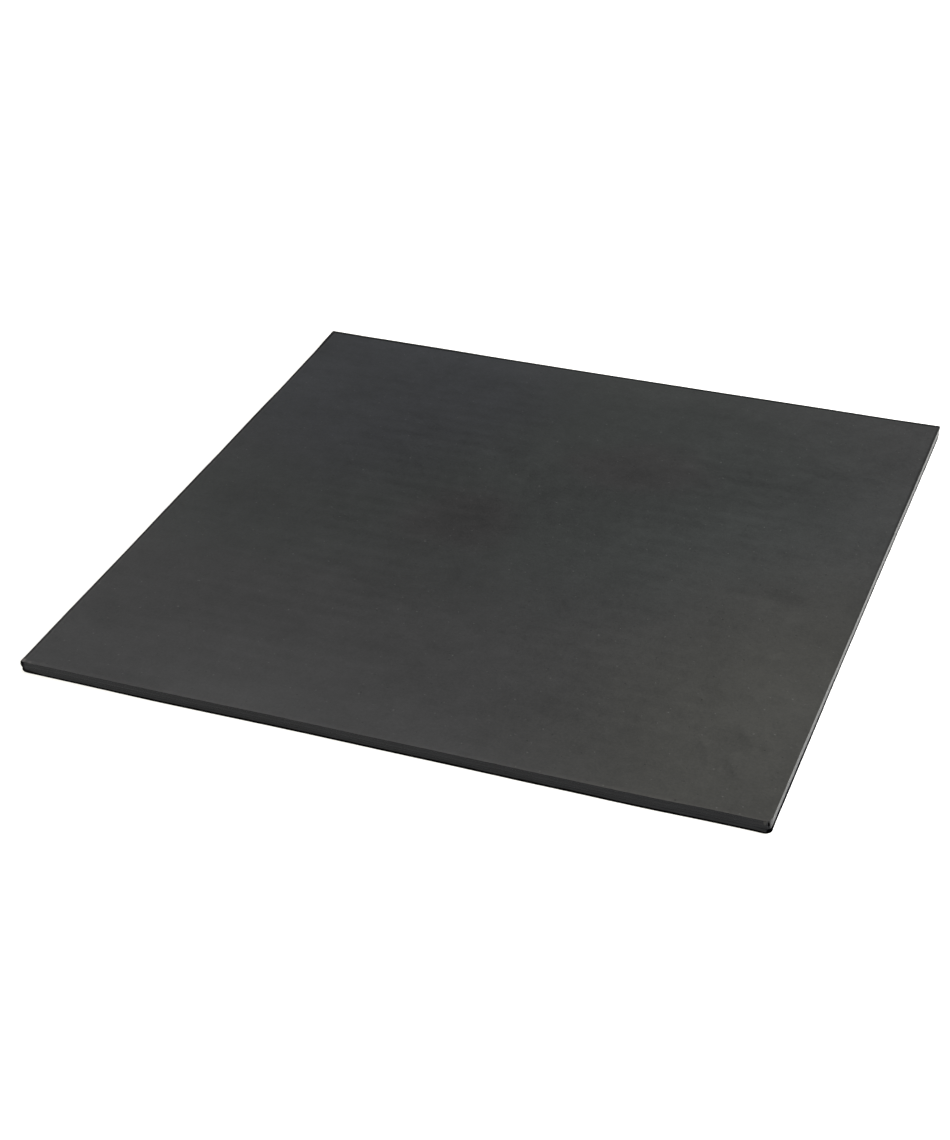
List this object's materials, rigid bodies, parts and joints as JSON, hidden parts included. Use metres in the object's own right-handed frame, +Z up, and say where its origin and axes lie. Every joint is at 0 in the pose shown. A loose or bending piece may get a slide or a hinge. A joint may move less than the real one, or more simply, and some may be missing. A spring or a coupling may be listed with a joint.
{
  "type": "self healing mat",
  "caption": "Flat square black self healing mat of fused plies, laid on a bench under leather to take knife cuts and punch blows.",
  "frame": {"origin": "centre of the underside, on the bench", "axes": "+Z up through the thickness, from the underside to the working face; +X and +Y run along the sides of the square, and the ripple of the rolled sheet runs along X"},
  "size_m": [0.3048, 0.3048, 0.0052],
  "materials": {
    "cutting_skin": "satin",
    "healing_ply": "matte",
    "stiff_core": "matte"
  },
  "bodies": {
    "root": {"bottom_cutting_skin": "cutting_skin", "lower_healing_ply": "healing_ply", "core_sheet": "stiff_core", "upper_healing_ply": "healing_ply", "top_cutting_skin": "cutting_skin"}
  },
  "joints": []
}
